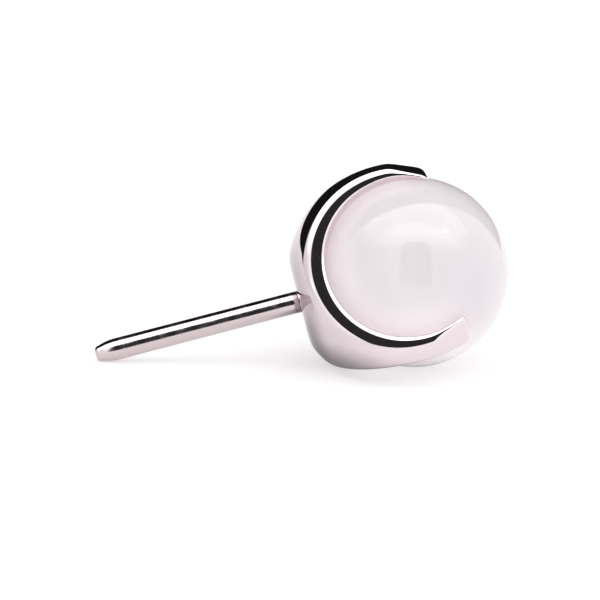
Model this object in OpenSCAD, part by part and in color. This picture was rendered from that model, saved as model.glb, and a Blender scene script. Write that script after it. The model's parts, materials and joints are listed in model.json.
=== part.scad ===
// Threadless end for body jewellery: a ball-shaped stone held in a three-clawed cup, with a plain
// push-in pin. It lies as it rests when nobody wears it, on the stone and the tip of its pin.
// The stone points along +X, the pin along -X, and the surface that it lies on is Z = 0.

/* [Stone] */
// Diameter of the polished stone ball
stone_d = 4; // [3:0.1:4.2]
// Clearance between the stone and its seat in the cup
stone_gap = 0.015; // [0.01:0.005:0.03]

/* [Cup] */
// How much larger than the stone's radius is that of the ball that the cup is turned from
cup_wall = 0.4; // [0.35:0.01:0.45]
// How far the middle of that ball lies behind the middle of the stone
cup_back = 0.27; // [0.22:0.01:0.32]
// Thickness of the cup behind the stone, up to its flat back
back_wall = 0.5; // [0.45:0.01:0.55]
// How far the claws reach past the middle of the stone
claw_reach = 0.77; // [0.6:0.01:0.85]
// How far past the middle of the stone the claws start to thin
taper_start = 0.03; // [0:0.01:0.1]
// Angle at which the claws thin toward their tips
taper_angle = 24; // [15:1:24]

/* [Cuts between the claws] */
// How much smaller than the stone's radius is that of the round cuts
cut_under = 0.27; // [0.24:0.01:0.3]
// How far the cuts' axes lie behind the middle of the stone
cut_back = 0.1; // [0.05:0.01:0.15]
// How much closer to the pin's axis than the stone's surface is the flat land outside each cut
land_in = 0.6; // [0.58:0.01:0.7]

/* [Pin] */
// Diameter of the pin
pin_d = 0.46; // [0.4:0.01:0.6]
// Length of the pin outside the cup
pin_reach = 4.39; // [4:0.01:6]
// Length of the pin's end that is fixed in the cup
pin_seat = 0.18; // [0.1:0.01:0.3]
// Clearance between the pin and its hole
pin_gap = 0.008; // [0.005:0.001:0.02]
// Length of the pin's rounded nose
nose_length = 0.46; // [0.4:0.01:0.5]
// Radius of the curve that narrows the nose
nose_curve = 1.05; // [0.9:0.01:1.3]

/* [Hidden] */
$fn = 96;

stone_r = stone_d / 2;
cup_r = stone_r + cup_wall;
pin_r = pin_d / 2;

// Radius of the cuts, and distance of their lands from the pin's axis
cut_r = stone_r - cut_under;
land = stone_r - land_in;

// Distances of the cup's flat back and of the pin's tip behind the middle of the stone
flat_back = stone_r + back_wall;
tip = flat_back + pin_reach;
// Farther out than the cup reaches, for the shapes that cut it
beyond = 2 * cup_r;

// Radius of the cup where the claws start to thin, and at their tips
taper_r = sqrt(cup_r * cup_r - pow(taper_start + cup_back, 2));
claw_tip_r = taper_r - (claw_reach - taper_start) * tan(taper_angle);

// The nose's curve has its middle here: past the axis, and this far behind the stone
nose_offset = nose_curve - pin_r;
nose_start = tip - nose_length;
tip_r = sqrt(pow(nose_curve, 2) - pow(nose_length, 2)) - nose_offset;

// The lean at which the stone and the nose both touch the surface
nose_span = sqrt(pow(nose_start, 2) + pow(nose_offset, 2));
lean = asin((stone_r - nose_curve) / nose_span) + atan(nose_offset / nose_start);

// Place of the stone's middle, with the whole part centred on the origin in X
far_x = tip * cos(lean) + tip_r * sin(lean);
stone_x = (far_x - stone_r) / 2;

// Leans the part, drawn along X with the stone's middle at the origin, to lie as it rests
module at_rest() {
    translate([stone_x, 0, stone_r]) rotate([0, -lean, 0]) children();
}

// Turns a profile of (radius, distance along the pin's axis) round that axis
module turned() {
    rotate([0, 90, 0]) rotate_extrude() children();
}

module cup_profile() {
    intersection() {
        translate([0, -cup_back]) circle(r = cup_r);
        polygon([
            [0, -flat_back],
            [beyond, -flat_back],
            [beyond, taper_start],
            [taper_r, taper_start],
            [claw_tip_r, claw_reach],
            [0, claw_reach]
        ]);
    }
}

// A claw stands between each pair of cuts; one cut faces the surface that the part lies on
module gap_cutters() {
    for (k = [0 : 2])
        rotate([k * 120, 0, 0]) {
            translate([-cut_back, 0, -beyond]) cylinder(r = cut_r, h = beyond);
            translate([-beyond, -beyond, -beyond]) cube([2 * beyond, 2 * beyond, beyond - land]);
        }
}

module pin_hole() {
    translate([-beyond, 0, 0]) rotate([0, 90, 0])
        cylinder(r = pin_r + pin_gap, h = beyond - flat_back + pin_seat + pin_gap);
}

module pin_profile() {
    union() {
        translate([0, -nose_start]) square([pin_r, nose_start - flat_back + pin_seat]);
        intersection() {
            translate([0, -tip]) square([pin_r, nose_length]);
            translate([-nose_offset, -nose_start]) circle(r = nose_curve);
        }
    }
}

module stone() {
    color("#e6dee2") at_rest() sphere(r = stone_r);
}

module claw_setting() {
    color("#c9bfc4") at_rest() difference() {
        turned() cup_profile();
        sphere(r = stone_r + stone_gap);
        gap_cutters();
        pin_hole();
    }
}

module pin() {
    color("#b9afb4") at_rest() turned() pin_profile();
}

stone();
claw_setting();
pin();
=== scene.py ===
import json
import math

import bmesh
import bpy
from mathutils import Matrix, Vector, noise


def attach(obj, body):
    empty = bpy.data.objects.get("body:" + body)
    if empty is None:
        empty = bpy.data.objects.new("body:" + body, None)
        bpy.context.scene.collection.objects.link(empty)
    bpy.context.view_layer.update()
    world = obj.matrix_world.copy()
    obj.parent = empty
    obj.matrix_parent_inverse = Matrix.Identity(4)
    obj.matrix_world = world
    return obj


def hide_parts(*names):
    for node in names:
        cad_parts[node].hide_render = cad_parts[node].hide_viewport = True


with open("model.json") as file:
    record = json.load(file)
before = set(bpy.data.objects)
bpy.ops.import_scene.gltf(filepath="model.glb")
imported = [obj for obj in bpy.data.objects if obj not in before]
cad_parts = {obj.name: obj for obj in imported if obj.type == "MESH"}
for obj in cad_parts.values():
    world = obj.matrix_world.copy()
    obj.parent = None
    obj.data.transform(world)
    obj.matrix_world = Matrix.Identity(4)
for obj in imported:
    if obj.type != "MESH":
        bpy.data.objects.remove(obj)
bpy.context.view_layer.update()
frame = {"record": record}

mm = 0.001                                   # the frame is in metres, the sizes below in millimetres

# The part lies on the floor with its pin leaning down. The pin's axis and the stone's middle place it all.
mounts = {mount["name"]: mount for mount in frame["record"]["mounts"]}
axis = -Vector(mounts["pin"]["axis"]).normalized()   # from the tip of the pin toward the stone
pinPlace = Vector(mounts["pin"]["pos_m"])
stoneRadius = 2.0
# on the pin's axis, one radius above the floor
stoneMiddle = pinPlace + axis * ((stoneRadius * mm - pinPlace.z) / axis.z)
sideways = Vector((0, 1, 0))
turned = Matrix((axis, sideways, axis.cross(sideways))).transposed()
toFrame = Matrix.Translation(stoneMiddle) @ turned.to_4x4() @ Matrix.Scale(mm, 4)
# the cup is cut open in these directions, and a claw stands between each pair
openings = [Vector((0, math.sin(turn), -math.cos(turn))) for turn in (0, math.tau / 3, math.tau * 2 / 3)]
print("frame read, the stone's middle is at", tuple(round(value, 6) for value in stoneMiddle))


def linear(hexColour):
    channels = [int(hexColour[i:i + 2], 16) / 255 for i in (1, 3, 5)]
    return tuple(c / 12.92 if c <= 0.04045 else ((c + 0.055) / 1.055) ** 2.4 for c in channels) + (1.0,)


def addNode(tree, kind, inputs=(), output=0, **settings):
    node = tree.nodes.new(kind)
    for name, value in settings.items():
        setattr(node, name, value)
    for key, value in inputs.items() if isinstance(inputs, dict) else enumerate(inputs):
        if isinstance(value, bpy.types.NodeSocket):
            tree.links.new(value, node.inputs[key])
        else:
            node.inputs[key].default_value = value
    return node.outputs[output] if node.outputs else None


def newMaterial(name):
    material = bpy.data.materials.new(name)
    material.use_nodes = True
    tree = material.node_tree
    return material, tree, tree.nodes["Principled BSDF"]


def newObject(name, mesh):
    thing = bpy.data.objects.new(name, mesh)
    bpy.context.scene.collection.objects.link(thing)
    return thing


# Claw setting: a cup turned from a ball, with a flat back and claws filed thin at their tips. Round cuts
# open it, each with a land outside it that the polishing wheel rounded. Places lie along the axis, from the
# stone's middle.
clawSetting = {
    "seatRadius": 2.015,
    "cupRadius": 2.4,
    "cupMiddle": -0.27,
    "flatBack": -2.5,
    "clawTip": 0.77,
    "taperStart": 0.03,
    "taperAngle": math.radians(24),
    "cutRadius": 1.7,
    "cutMiddle": -0.1,
    "landOut": 1.4,
    "holeRadius": 0.238,
    "holeEnd": -2.312,
    "backRound": 0.12,                       # how softly two faces meet, and so the next five
    "taperRound": 0.05,
    "tipRound": 0.25,
    "landRound": 0.16,
    "rimRound": 0.18,
    "seatRound": 0.07,
}
# the ball's radius round the axis where the taper starts
clawSetting["taperRadius"] = math.sqrt(
    clawSetting["cupRadius"] ** 2 - (clawSetting["taperStart"] - clawSetting["cupMiddle"]) ** 2)
voxel = 0.025                                # mm, the grid that the cup's surface is drawn from
probe = 0.002                                # mm, how far off the distance is read to find where it grows
moves = 3                                    # times that the drawn points go to the true surface


def polishedMetal(name, marksAlong, values):
    material, tree, shader = newMaterial(name)
    place = addNode(tree, "ShaderNodeTexCoord", output="Object")
    inMm = addNode(tree, "ShaderNodeMapping", {"Vector": place, "Scale": (1 / mm,) * 3})
    patches = addNode(tree, "ShaderNodeTexNoise", {
        "Vector": inMm, "Scale": 1 / values["tintSize"], "Detail": 3.0})
    tint = addNode(tree, "ShaderNodeMix", {
        0: patches, 6: linear(values["tint"]), 7: linear(values["deepTint"])}, 2, data_type="RGBA")
    fromStone = addNode(tree, "ShaderNodeVectorMath", (place, stoneMiddle), operation="SUBTRACT")
    along = addNode(tree, "ShaderNodeVectorMath", (fromStone, axis / mm), "Value", operation="DOT_PRODUCT")
    above = addNode(tree, "ShaderNodeVectorMath", (fromStone, turned.col[2] / mm), "Value",
                    operation="DOT_PRODUCT")
    # painted shade: darker over the cup's flat back, and most under the pin
    atBack = addNode(tree, "ShaderNodeMapRange", (along, *values["shadeAlong"], 0.0, 1.0),
                     interpolation_type="SMOOTHSTEP")
    underPin = addNode(tree, "ShaderNodeMapRange", (above, *values["shadeBelow"], 0.5, 1.0),
                       interpolation_type="SMOOTHSTEP")
    paintedShade = addNode(tree, "ShaderNodeMath", (atBack, underPin), operation="MULTIPLY")
    colour = addNode(tree, "ShaderNodeMix", {0: paintedShade, 6: tint, 7: linear(values["shadeTint"])}, 2,
                     data_type="RGBA")
    wear = addNode(tree, "ShaderNodeTexNoise", {
        "Vector": inMm, "Scale": 1 / values["wearSize"], "Detail": 5.0})
    rough = addNode(tree, "ShaderNodeMapRange", (
        wear, *values["wearSpread"], values["smooth"], values["worn"]))

    # fine marks, long in the direction in which the wheel or the drawing plate ran
    upright = addNode(tree, "ShaderNodeMapping", {"Vector": inMm, "Rotation": turned.to_euler()},
                      vector_type="TEXTURE")
    fine = 1 / values["markWidth"]
    long = fine / values["markStretch"]
    marks = addNode(tree, "ShaderNodeMapping", {
        "Vector": upright, "Scale": (long, fine, fine) if marksAlong else (fine, long, long)})
    grooves = addNode(tree, "ShaderNodeTexNoise", {"Vector": marks, "Scale": 1.0, "Detail": 2.0})
    bump = addNode(tree, "ShaderNodeBump", {"Distance": values["markDepth"] * mm, "Height": grooves})
    for key, value in (("Base Color", colour), ("Roughness", rough), ("Normal", bump)):
        tree.links.new(value, shader.inputs[key])
    shader.inputs["Metallic"].default_value = 1.0
    return material


polish = {
    "tint": "#E0D5D8",                       # titanium: a grey with a trace of pink
    "deepTint": "#DACED2",
    "shadeTint": "#8E868C",                   # painted shade on the cup's flat back, darkest under the pin
    "shadeAlong": (-2.1, -2.48),              # mm along the axis, where the painted shade starts and is full
    "shadeBelow": (0.1, -0.6),                # mm above the pin, where it is half and where it is full
    "tintSize": 0.9,                         # mm, patches of the two tints
    "smooth": 0.03,
    "worn": 0.075,
    "wearSize": 0.35,                        # mm, patches rubbed by handling
    "wearSpread": (0.4, 0.7),                # of the noise, from smooth to worn
    "markWidth": 0.012,                      # mm, across one wheel mark, drawn coarser than the real ones
    "markStretch": 14,
    "markDepth": 0.00003,                    # mm
}
# mirror polish with a trace of wheel marks: gives the eye crisp bands of light and dark; the flat back gets a
# painted shade
settingMetal = polishedMetal("polishedTitanium", False, polish)


def distanceGroup():
    tree = bpy.data.node_groups.new("cupDistance", "GeometryNodeTree")
    tree.interface.new_socket("place", in_out="INPUT", socket_type="NodeSocketVector")
    for name in clawSetting:
        tree.interface.new_socket(name, in_out="INPUT", socket_type="NodeSocketFloat")
    tree.interface.new_socket("distance", in_out="OUTPUT", socket_type="NodeSocketFloat")
    size = addNode(tree, "NodeGroupInput").node.outputs
    place = size["place"]

    # the ball, its flat back, and the plane that ends the claws
    along = addNode(tree, "ShaderNodeSeparateXYZ", (place,))
    across = addNode(tree, "ShaderNodeVectorMath", (place, (0, 1, 1)), operation="MULTIPLY")
    outward = addNode(tree, "ShaderNodeVectorMath", (across,), "Value", operation="LENGTH")
    cupMiddle = addNode(tree, "ShaderNodeCombineXYZ", (size["cupMiddle"],))
    fromCup = addNode(tree, "ShaderNodeVectorMath", (place, cupMiddle), "Value", operation="DISTANCE")
    ball = addNode(tree, "ShaderNodeMath", (fromCup, size["cupRadius"]), operation="SUBTRACT")
    flat = addNode(tree, "ShaderNodeMath", (size["flatBack"], along), operation="SUBTRACT")
    tip = addNode(tree, "ShaderNodeMath", (along, size["clawTip"]), operation="SUBTRACT")

    # the cone that thins the claws starts on the ball
    wide = addNode(tree, "ShaderNodeMath", (outward, size["taperRadius"]), operation="SUBTRACT")
    past = addNode(tree, "ShaderNodeMath", (along, size["taperStart"]), operation="SUBTRACT")
    sine = addNode(tree, "ShaderNodeMath", (size["taperAngle"],), operation="SINE")
    cosine = addNode(tree, "ShaderNodeMath", (size["taperAngle"],), operation="COSINE")
    slope = addNode(tree, "ShaderNodeMath", (past, sine), operation="MULTIPLY")
    taper = addNode(tree, "ShaderNodeMath", (wide, cosine, slope), operation="MULTIPLY_ADD")
    solid = ball
    for face, softness in ((flat, "backRound"), (taper, "taperRound"), (tip, "tipRound")):
        solid = addNode(tree, "ShaderNodeMath", (solid, face, size[softness]), operation="SMOOTH_MAX")

    # a cut runs outward from the pin's axis, and beyond its land nothing is left
    cutMiddle = addNode(tree, "ShaderNodeCombineXYZ", (size["cutMiddle"],))
    fromCut = addNode(tree, "ShaderNodeVectorMath", (place, cutMiddle), operation="SUBTRACT")
    for opening in openings:
        height = addNode(tree, "ShaderNodeVectorMath", (place, opening), "Value", operation="DOT_PRODUCT")
        land = addNode(tree, "ShaderNodeMath", (height, size["landOut"]), operation="SUBTRACT")
        above = addNode(tree, "ShaderNodeMath", (height, 0.0), operation="MAXIMUM")
        lifted = addNode(tree, "ShaderNodeVectorMath", {0: opening, "Scale": above}, operation="SCALE")
        fromAxis = addNode(tree, "ShaderNodeVectorMath", (fromCut, lifted), "Value", operation="DISTANCE")
        wall = addNode(tree, "ShaderNodeMath", (size["cutRadius"], fromAxis), operation="SUBTRACT")
        solid = addNode(tree, "ShaderNodeMath", (solid, land, size["landRound"]), operation="SMOOTH_MAX")
        solid = addNode(tree, "ShaderNodeMath", (solid, wall, size["rimRound"]), operation="SMOOTH_MAX")

    # the stone's seat, and the blind hole of the pin
    fromStone = addNode(tree, "ShaderNodeVectorMath", (place,), "Value", operation="LENGTH")
    seat = addNode(tree, "ShaderNodeMath", (size["seatRadius"], fromStone), operation="SUBTRACT")
    solid = addNode(tree, "ShaderNodeMath", (solid, seat, size["seatRound"]), operation="SMOOTH_MAX")
    holeWall = addNode(tree, "ShaderNodeMath", (size["holeRadius"], outward), operation="SUBTRACT")
    holeFloor = addNode(tree, "ShaderNodeMath", (size["holeEnd"], along), operation="SUBTRACT")
    hole = addNode(tree, "ShaderNodeMath", (holeWall, holeFloor), operation="MINIMUM")
    solid = addNode(tree, "ShaderNodeMath", (solid, hole), operation="MAXIMUM")
    addNode(tree, "NodeGroupOutput", (solid,))
    return tree


def settingTree():
    distance = distanceGroup()
    tree = bpy.data.node_groups.new("clawSettingShape", "GeometryNodeTree")
    kinds = {"geometry": "Geometry", **dict.fromkeys(clawSetting, "Float"), "low": "Vector", "high": "Vector",
             "stepsX": "Int", "stepsY": "Int", "stepsZ": "Int", "material": "Material"}
    for name, kind in kinds.items():
        tree.interface.new_socket(name, in_out="INPUT", socket_type="NodeSocket" + kind)
    tree.interface.new_socket("geometry", in_out="OUTPUT", socket_type="NodeSocketGeometry")
    given = addNode(tree, "NodeGroupInput").node.outputs
    sizes = {name: given[name] for name in clawSetting}
    position = addNode(tree, "GeometryNodeInputPosition")
    outside = addNode(tree, "GeometryNodeGroup", {"place": position, **sizes}, node_tree=distance)
    inside = addNode(tree, "ShaderNodeMath", (outside, -1.0), operation="MULTIPLY")
    grid = addNode(tree, "GeometryNodeVolumeCube", {
        "Density": inside, "Background": -1.0, "Min": given["low"], "Max": given["high"],
        "Resolution X": given["stepsX"], "Resolution Y": given["stepsY"], "Resolution Z": given["stepsZ"]})
    shape = addNode(tree, "GeometryNodeVolumeToMesh", {"Volume": grid, "Threshold": 0.0})

    # the direction in which the distance grows is the one that the surface faces
    total = (0, 0, 0)
    for corner in ((1, -1, -1), (-1, -1, 1), (-1, 1, -1), (1, 1, 1)):
        near = [probe * side for side in corner]
        there = addNode(tree, "ShaderNodeVectorMath", (position, near), operation="ADD")
        reading = addNode(tree, "GeometryNodeGroup", {"place": there, **sizes}, node_tree=distance)
        part = addNode(tree, "ShaderNodeVectorMath", {0: corner, "Scale": reading}, operation="SCALE")
        total = addNode(tree, "ShaderNodeVectorMath", (total, part), operation="ADD")
    facing = addNode(tree, "ShaderNodeVectorMath", (total,), operation="NORMALIZE")
    move = addNode(tree, "ShaderNodeVectorMath", {0: facing, "Scale": inside}, operation="SCALE")

    # each move carries the points closer to the true surface
    for _ in range(moves):
        shape = addNode(tree, "GeometryNodeSetPosition", {"Geometry": shape, "Offset": move})
    shape = addNode(tree, "GeometryNodeSetShadeSmooth", {"Geometry": shape})
    shape = addNode(tree, "GeometryNodeStoreNamedAttribute", {
        "Geometry": shape, "Name": "facing", "Value": facing}, data_type="FLOAT_VECTOR", domain="POINT")
    shape = addNode(tree, "GeometryNodeRealizeInstances", (shape,))
    shape = addNode(tree, "GeometryNodeSetMaterial", {"Geometry": shape, "Material": given["material"]})
    addNode(tree, "NodeGroupOutput", (shape,))
    return tree


def fromTree(name, tree, values):
    holder = newObject(name, bpy.data.meshes.new(name + "Start"))
    modifier = holder.modifiers.new("shape", "NODES")
    modifier.node_group = tree
    sockets = {item.name: item.identifier for item in tree.interface.items_tree if item.in_out == "INPUT"}
    for key, value in values.items():
        modifier[sockets[key]] = value
    evaluated = holder.evaluated_get(bpy.context.evaluated_depsgraph_get())
    mesh = bpy.data.meshes.new_from_object(evaluated)
    holder.modifiers.clear()
    holder.data = mesh
    mesh.name = name
    return holder


margin = 4 * voxel                           # free room round the cup
reach = clawSetting["cupRadius"] + margin
low = Vector((clawSetting["flatBack"] - margin, -reach, -reach))
high = Vector((clawSetting["clawTip"] + margin, reach, reach))
steps = [round((b - a) / voxel) for a, b in zip(low, high)]
cup = fromTree("clawCup", settingTree(), {
    **clawSetting, "low": low, "high": high, "stepsX": steps[0], "stepsY": steps[1], "stepsZ": steps[2],
    "material": settingMetal})
facing = [turned @ item.vector for item in cup.data.attributes["facing"].data]
cup.data.attributes.remove(cup.data.attributes["facing"])
cup.data.transform(toFrame)
cup.data.normals_split_custom_set_from_vertices(facing)
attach(cup, "root")
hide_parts("claw_setting")
print("claw setting made,", len(cup.data.polygons), "faces")

# Stone: a ball of moonstone, polished by hand and so never quite round
moonstoneLook = {
    "milk": "#DED8DA",
    "warm": "#DAD4D5",
    "cloudSize": 1.6,                        # mm
    "cloudSpread": (0.35, 0.65),             # of the noise, from milk to warm
    "sheen": "#D2CDD3",                      # painted sheen: the pale bluish glow of a moonstone, put in the base colour
    "sheenPlace": (0.9, -1.2, 0.1),          # mm from the stone's middle, along, toward the eye, up
    "sheenReach": (0.2, 1.5),                # mm from there, where it starts to fade and where it ends
    "sheenShare": 0.7,
    "scatter": 4.0,                          # mm that light travels inside
    "scatterTint": (1.0, 0.9, 0.95),         # of it, for red, green and blue
    "ior": 1.52,
    "paintedGlow": 0.31,                           # painted glow beside the metal, standing in for light from inside
    "paintedGlowTint": "#F6F1F2",
    "openingEdge": (0.5, 0.95),              # of the stone's radius toward a cut, where that light fades
    "cupEdge": (0.0, 1.2),                   # mm past the stone's middle, where it fades toward the front
    "smooth": 0.02,
    "worn": 0.06,
    "wearSize": 0.5,                         # mm
    "wearSpread": (0.45, 0.75),              # of the noise, from smooth to worn
    "uneven": 0.003,                         # mm that the low places lie inside the ball
    "unevenSize": 1.4,                       # mm, from one low place to the next
    "fineness": 6,                           # times that the ball's faces are divided
}


def moonstoneMaterial(look):
    material, tree, shader = newMaterial("moonstone")
    place = addNode(tree, "ShaderNodeTexCoord", output="Object")
    inMm = addNode(tree, "ShaderNodeMapping", {"Vector": place, "Location": stoneMiddle, "Scale": (mm,) * 3},
                   vector_type="TEXTURE")
    clouds = addNode(tree, "ShaderNodeTexNoise", {
        "Vector": inMm, "Scale": 1 / look["cloudSize"], "Detail": 4.0, "Roughness": 0.45})
    cloudy = addNode(tree, "ShaderNodeMapRange", (clouds, *look["cloudSpread"], 0.0, 1.0))
    milk = addNode(tree, "ShaderNodeMix", {0: cloudy, 6: linear(look["milk"]), 7: linear(look["warm"])}, 2,
                   data_type="RGBA")
    # painted sheen: a bluish patch mixed into the base colour round one place in the stone
    away = addNode(tree, "ShaderNodeVectorMath", (inMm, look["sheenPlace"]), "Value", operation="DISTANCE")
    glow = addNode(tree, "ShaderNodeMapRange", (away, *look["sheenReach"], look["sheenShare"], 0.0),
                   interpolation_type="SMOOTHSTEP")
    body = addNode(tree, "ShaderNodeMix", {0: glow, 6: milk, 7: linear(look["sheen"])}, 2, data_type="RGBA")
    wear = addNode(tree, "ShaderNodeTexNoise", {"Vector": inMm, "Scale": 1 / look["wearSize"], "Detail": 6.0})
    rough = addNode(tree, "ShaderNodeMapRange", (wear, *look["wearSpread"], look["smooth"], look["worn"]))

    # painted glow: the stone gives off light beside the metal, making up for the metal's shade on it
    nearest = -1.0
    for opening in openings:
        toward = addNode(tree, "ShaderNodeVectorMath", (inMm, turned @ opening / stoneRadius), "Value",
                         operation="DOT_PRODUCT")
        nearest = addNode(tree, "ShaderNodeMath", (nearest, toward), operation="MAXIMUM")
    beside = addNode(tree, "ShaderNodeMapRange", (nearest, *look["openingEdge"], look["paintedGlow"], 0.0),
                     interpolation_type="SMOOTHSTEP")
    along = addNode(tree, "ShaderNodeVectorMath", (inMm, axis), "Value", operation="DOT_PRODUCT")
    inCup = addNode(tree, "ShaderNodeMapRange", (along, *look["cupEdge"], 1.0, 0.0),
                    interpolation_type="SMOOTHSTEP")
    paintedGlow = addNode(tree, "ShaderNodeMath", (beside, inCup), operation="MULTIPLY")
    for key, value in (("Base Color", body), ("Emission Strength", paintedGlow), ("Roughness", rough)):
        tree.links.new(value, shader.inputs[key])
    shader.inputs["Emission Color"].default_value = linear(look["paintedGlowTint"])
    shader.inputs["IOR"].default_value = look["ior"]
    shader.inputs["Subsurface Weight"].default_value = 1.0
    shader.inputs["Subsurface Radius"].default_value = look["scatterTint"]
    shader.inputs["Subsurface Scale"].default_value = look["scatter"] * mm
    return material


# milky and translucent: light spreads inside it, and a painted glow lifts its shade, so it has no dark side
moonstone = moonstoneMaterial(moonstoneLook)
stoneBall = bmesh.new()
bmesh.ops.create_icosphere(stoneBall, subdivisions=moonstoneLook["fineness"], radius=stoneRadius * mm)
for vertex in stoneBall.verts:
    # from 0 to 1, how low this place lies
    depth = 0.5 + 0.5 * noise.noise(vertex.co / (moonstoneLook["unevenSize"] * mm))
    vertex.co *= 1 - moonstoneLook["uneven"] / stoneRadius * depth
for face in stoneBall.faces:
    face.smooth = True
stoneMesh = bpy.data.meshes.new("moonstoneBall")
stoneBall.to_mesh(stoneMesh)
stoneBall.free()
stoneMesh.transform(Matrix.Translation(stoneMiddle))
stoneMesh.materials.append(moonstone)
stone = newObject("moonstoneBall", stoneMesh)
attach(stone, "root")
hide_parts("stone")
print("stone made")

# Pin: drawn wire, its nose narrowed by a long curve and its edge broken
pinSize = {
    "radius": 0.23,
    "seatEnd": -2.32,                        # along the axis, from the stone's middle
    "noseStart": -6.43,
    "tip": -6.89,
    "noseCurve": 1.05,
    "tipRound": 0.1,
    "tipSlope": 0.45,                        # about how steeply the nose narrows at its edge
    "wireSteps": 12,                         # rings along the wire, the nose and the broken edge
    "noseSteps": 24,
    "edgeSteps": 8,
    "sides": 128,
}
# the same metal with lengthwise marks, drawn coarser than the real ones, that soften its dark stripe
pinMetal = polishedMetal("drawnTitaniumWire", True, {
    # its painted shade on the underside is barely darker than its tint
    **polish, "tint": "#D6CACC", "deepTint": "#D0C3C6", "shadeTint": "#D3C6C9", "smooth": 0.1, "worn": 0.24,
    "wearSize": 0.2, "markWidth": 0.02, "markDepth": 0.0004})


def pinProfile(size):
    radius, curve, seat, start, edge = (
        size[key] for key in ("radius", "noseCurve", "seatEnd", "noseStart", "tipRound"))
    wireSteps, noseSteps, edgeSteps = (size[key] for key in ("wireSteps", "noseSteps", "edgeSteps"))
    points = [(seat + (start - seat) * step / wireSteps, radius) for step in range(wireSteps + 1)]
    last = size["tip"] + edge
    for step in range(1, noseSteps + 1):
        back = (last - start) * step / noseSteps
        points.append((start + back, math.sqrt(curve ** 2 - back ** 2) - (curve - radius)))
    wide = points[-1][1]
    flat = wide - edge * math.cos(math.atan(size["tipSlope"]))
    for step in range(1, edgeSteps + 1):
        angle = math.pi / 2 * step / edgeSteps
        points.append((last - edge * math.sin(angle), flat + (wide - flat) * math.cos(angle)))
    return points


def turnedMesh(name, points, sides):
    work = bmesh.new()
    rings = []
    for along, radius in points:
        rings.append([work.verts.new((along, radius * math.sin(math.tau * side / sides),
                                      radius * math.cos(math.tau * side / sides))) for side in range(sides)])
    for first, second in zip(rings, rings[1:]):
        for side in range(sides):
            after = (side + 1) % sides
            work.faces.new((first[side], second[side], second[after], first[after])).smooth = True
    for ring, centre in ((rings[0], points[0][0]), (rings[-1], points[-1][0])):
        middle = work.verts.new((centre, 0, 0))
        for side in range(sides):
            work.faces.new((ring[side], ring[(side + 1) % sides], middle)).smooth = True
    bmesh.ops.recalc_face_normals(work, faces=work.faces)
    mesh = bpy.data.meshes.new(name)
    work.to_mesh(mesh)
    work.free()
    return mesh


pinMesh = turnedMesh("pinWire", pinProfile(pinSize), pinSize["sides"])
pinMesh.transform(toFrame)
pinMesh.materials.append(pinMetal)
pin = newObject("pinWire", pinMesh)
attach(pin, "root")
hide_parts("pin")
print("pin made")

# Floor: matt paper on a light table, so that shadows stay pale. The metal mirrors a painted shadow
# where the cup would shade plain paper, and painted light around it.
paperLook = {
    "white": "#C6C4C4",
    "fibre": "#C2C0C0",
    "fibreSize": 1.5,                        # mm
    "fibreDepth": 0.01,                      # mm
    "glow": 0.52,
    "patchPlace": (-0.83, -0.1),             # mm from the stone's middle, along X and Y
    "patchInner": 1.0,                       # mm, where the patch is darkest
    "patchOuter": 2.1,                       # mm, where it ends
    "patchLight": 0.35,
    "openLight": (0.96, 1.1),                # painted light around the patch, at its left and its right
    "openReach": 2.0,                        # mm left of its middle, over which one becomes the other
    "roughness": 0.9,
    "reach": 1.0,                            # m from the floor's middle to its sides
}
paper, paperTree, paperShader = newMaterial("paper")
paperPlace = addNode(paperTree, "ShaderNodeTexCoord", output="Object")
fibres = addNode(paperTree, "ShaderNodeTexNoise", {
    "Vector": paperPlace, "Scale": 1 / (paperLook["fibreSize"] * mm), "Detail": 4.0})
paperTint = addNode(paperTree, "ShaderNodeMix", {
    0: fibres, 6: linear(paperLook["white"]), 7: linear(paperLook["fibre"])}, 2, data_type="RGBA")
paperBump = addNode(paperTree, "ShaderNodeBump", {"Distance": paperLook["fibreDepth"] * mm, "Height": fibres})
patchMiddle = Vector((stoneMiddle.x, stoneMiddle.y, 0)) + Vector((*paperLook["patchPlace"], 0)) * mm
fromPatch = addNode(paperTree, "ShaderNodeVectorMath", (paperPlace, patchMiddle), "Value",
                    operation="DISTANCE")
paperAlong = addNode(paperTree, "ShaderNodeSeparateXYZ", (paperPlace,))
# painted shadow under the cup and painted light around it, which only the metal mirrors
openLight = addNode(paperTree, "ShaderNodeMapRange", (
    paperAlong, patchMiddle.x - paperLook["openReach"] * mm, patchMiddle.x, *paperLook["openLight"]))
mirroredShadow = addNode(paperTree, "ShaderNodeMapRange", (
    fromPatch, paperLook["patchInner"] * mm, paperLook["patchOuter"] * mm, paperLook["patchLight"],
    openLight), interpolation_type="SMOOTHSTEP")
paperRay = addNode(paperTree, "ShaderNodeLightPath").node.outputs
paperLight = addNode(paperTree, "ShaderNodeMix", {0: paperRay["Is Glossy Ray"], 2: 1.0, 3: mirroredShadow})
paperGlow = addNode(paperTree, "ShaderNodeMath", (paperLight, paperLook["glow"]), operation="MULTIPLY")
paperColour = addNode(paperTree, "ShaderNodeVectorMath", {0: paperTint, "Scale": paperLight},
                      operation="SCALE")
for key, value in (("Base Color", paperColour), ("Emission Strength", paperGlow), ("Normal", paperBump)):
    paperTree.links.new(value, paperShader.inputs[key])
paperShader.inputs["Roughness"].default_value = paperLook["roughness"]
paperShader.inputs["Emission Color"].default_value = (1, 1, 1, 1)
floorWork = bmesh.new()
bmesh.ops.create_grid(floorWork, x_segments=1, y_segments=1, size=paperLook["reach"])
floorMesh = bpy.data.meshes.new("paperFloor")
floorWork.to_mesh(floorMesh)
floorWork.free()
floorMesh.materials.append(paper)
floor = newObject("paperFloor", floorMesh)

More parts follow.
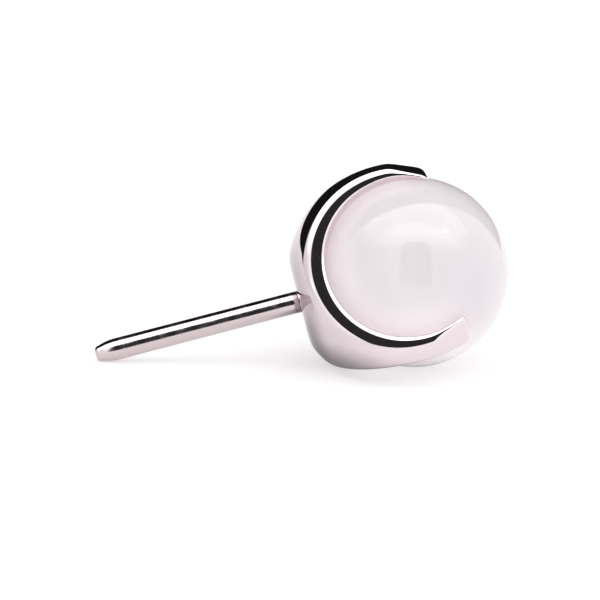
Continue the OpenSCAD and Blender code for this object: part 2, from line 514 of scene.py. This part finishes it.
# Camera: level with the photo's, a little to the left and above the floor
camera = {
    "elevation": 14.5,                       # degrees, and so the next two
    "leftward": 5.3,
    "roll": 1.95,
    "lens": 500,                             # mm, long, so that the view is flat
    "across": 12.57,                         # mm that the picture is wide
    "aim": (-2.39, -0.593),                  # mm from the stone's middle to the picture's, right and up
}
rise, leftward = math.radians(camera["elevation"]), math.radians(camera["leftward"])
toCamera = Matrix.Rotation(-leftward, 3, "Z") @ Vector((0, -math.cos(rise), math.sin(rise)))
lens = bpy.data.cameras.new("camera")
lens.lens = camera["lens"]
lens.clip_start = mm
away = camera["across"] * mm / 2 / (lens.sensor_width / 2 / lens.lens)
level = (-toCamera).to_track_quat("-Z", "Y").to_matrix()
view = level @ Matrix.Rotation(math.radians(camera["roll"]), 3, "Z")
aim = stoneMiddle + view @ Vector((*camera["aim"], 0)) * mm
cameraObject = newObject("camera", lens)
cameraObject.matrix_world = Matrix.Translation(aim + toCamera * away) @ view.to_4x4()
bpy.context.scene.camera = cameraObject
bpy.context.scene.view_settings.view_transform = "Standard"
print("floor and camera made")

# Studio: lamps light the scene, and what the metal mirrors is a light tent with two dark openings
right = Vector((0, 0, 1)).cross(toCamera).normalized()
upward = toCamera.cross(right)
studio = {
    "distance": 0.25,                        # m, from the stone to each lamp
    "fill": 0.85,                            # what the tent gives to matt surfaces
    # lamps: up and to the right in degrees, sizes in metres
    "lamps": {
        "overhead": {"up": 62.5, "side": 0, "width": 0.62, "height": 0.29, "radiance": 0.45},
        "left": {"up": 8, "side": -100, "width": 0.10, "height": 0.22, "radiance": 0.3},
        "right": {"up": 8, "side": 112, "width": 0.14, "height": 0.22, "radiance": 0.3},
    },
    "tent": 1.35,                            # what the metal mirrors of the tent's cloth
    "tentLeft": 0.7,                         # how much of that light is left at the tent's left end
    "tentSlope": (-1.0, -0.15),              # across, from that end to the full light
    "dark": 0.009,                           # what the dark openings still give
    "roof": (-0.22, -0.817, 0.532),          # the round dark opening above: right, toward the camera, up
    "roofEdge": (0.5, 0.56),                 # cosines of the angles where its edge starts and ends
    "backdropEdge": (2.90, 2.97),            # heights in radians where the white backdrop starts
    # ovals: middle across, its height in radians, half their sizes, start and end of the edge, light within
    # and around
    "door": (0.02, 0.07, 0.33, 0.56, 0.8, 1.25, 0.015, 1.0),
    "panels": (
        (0.0, 1.13, 0.80, 0.56, 0.6, 1.4, 1.4, 0.0),
        (0.03, 0.925, 0.52, 0.13, 0.5, 1.6, 1.3, 0.0),
        (0.53, 1.05, 0.05, 0.05, 0.0, 2.5, 3.5, 0.0),
        (-0.52, 0.37, 0.04, 0.04, 0.2, 1.6, 2.0, 0.0),
    ),
}
for name, given in studio["lamps"].items():
    lamp = bpy.data.lights.new(name, "AREA")
    lamp.shape = "RECTANGLE"
    lamp.size = given["width"]
    lamp.size_y = given["height"]
    lamp.energy = given["radiance"] * math.pi * given["width"] * given["height"]
    up, side = math.radians(given["up"]), math.radians(given["side"])
    direction = (right * math.sin(side) + toCamera * math.cos(side)) * math.cos(up) + upward * math.sin(up)
    lampObject = newObject(name, lamp)
    lampObject.location = stoneMiddle + direction * studio["distance"]
    lampObject.rotation_euler = (-direction).to_track_quat("-Z", "Y").to_euler()
    lampObject.visible_camera = False
    lampObject.visible_glossy = False

world = bpy.data.worlds.new("lightTent")
world.use_nodes = True
sky = world.node_tree
sky.nodes.clear()
looking = addNode(sky, "ShaderNodeTexCoord", output="Generated")
across, front, above = [
    addNode(sky, "ShaderNodeVectorMath", (looking, direction), "Value", operation="DOT_PRODUCT")
    for direction in (right, toCamera, upward)]
# the height is an angle: 0 toward the camera, pi / 2 overhead and pi behind
height = addNode(sky, "ShaderNodeMath", (above, front), operation="ARCTAN2")
ovals = []
for middle, lift, halfWidth, halfHeight, start, end, within, around in (studio["door"], *studio["panels"]):
    sideOff = addNode(sky, "ShaderNodeMapRange", (across, middle, middle + halfWidth, 0.0, 1.0), clamp=False)
    liftOff = addNode(sky, "ShaderNodeMapRange", (height, lift, lift + halfHeight, 0.0, 1.0), clamp=False)
    off = addNode(sky, "ShaderNodeCombineXYZ", (sideOff, liftOff))
    squared = addNode(sky, "ShaderNodeVectorMath", (off, off), operation="MULTIPLY")
    farness = addNode(sky, "ShaderNodeVectorMath", (squared, squared), "Value", operation="DOT_PRODUCT")
    ovals.append(addNode(sky, "ShaderNodeMapRange", (farness, start, end, within, around),
                         interpolation_type="SMOOTHSTEP"))
roofAim = Matrix((right, toCamera, upward)).transposed() @ Vector(studio["roof"]).normalized()
toRoof = addNode(sky, "ShaderNodeVectorMath", (looking, roofAim), "Value", operation="DOT_PRODUCT")
roof = addNode(sky, "ShaderNodeMapRange", (toRoof, *studio["roofEdge"], 1.0, 0.0),
               interpolation_type="SMOOTHSTEP")
leftLight = studio["tent"] * studio["tentLeft"]
tent = addNode(sky, "ShaderNodeMapRange", (across, *studio["tentSlope"], leftLight, studio["tent"]),
               interpolation_type="SMOOTHSTEP")
for panel in ovals[1:]:
    tent = addNode(sky, "ShaderNodeMath", (tent, panel), operation="ADD")
for shade in (roof, ovals[0]):
    tent = addNode(sky, "ShaderNodeMath", (tent, shade), operation="MULTIPLY")
behind = addNode(sky, "ShaderNodeMath", (height,), operation="ABSOLUTE")
backdrop = addNode(sky, "ShaderNodeMapRange", (behind, *studio["backdropEdge"], 0.0, 1.0),
                   interpolation_type="SMOOTHSTEP")
mirrored = addNode(sky, "ShaderNodeMath", (tent, backdrop), operation="MAXIMUM")
mirrored = addNode(sky, "ShaderNodeMath", (mirrored, studio["dark"]), operation="ADD")
ray = addNode(sky, "ShaderNodeLightPath").node.outputs
strength = addNode(sky, "ShaderNodeMix", {0: ray["Is Glossy Ray"], 2: studio["fill"], 3: mirrored})
strength = addNode(sky, "ShaderNodeMix", {0: ray["Is Camera Ray"], 2: strength, 3: 1.0})
light = addNode(sky, "ShaderNodeBackground", ((1, 1, 1, 1), strength))
addNode(sky, "ShaderNodeOutputWorld", (light,))
bpy.context.scene.world = world
print("studio made")
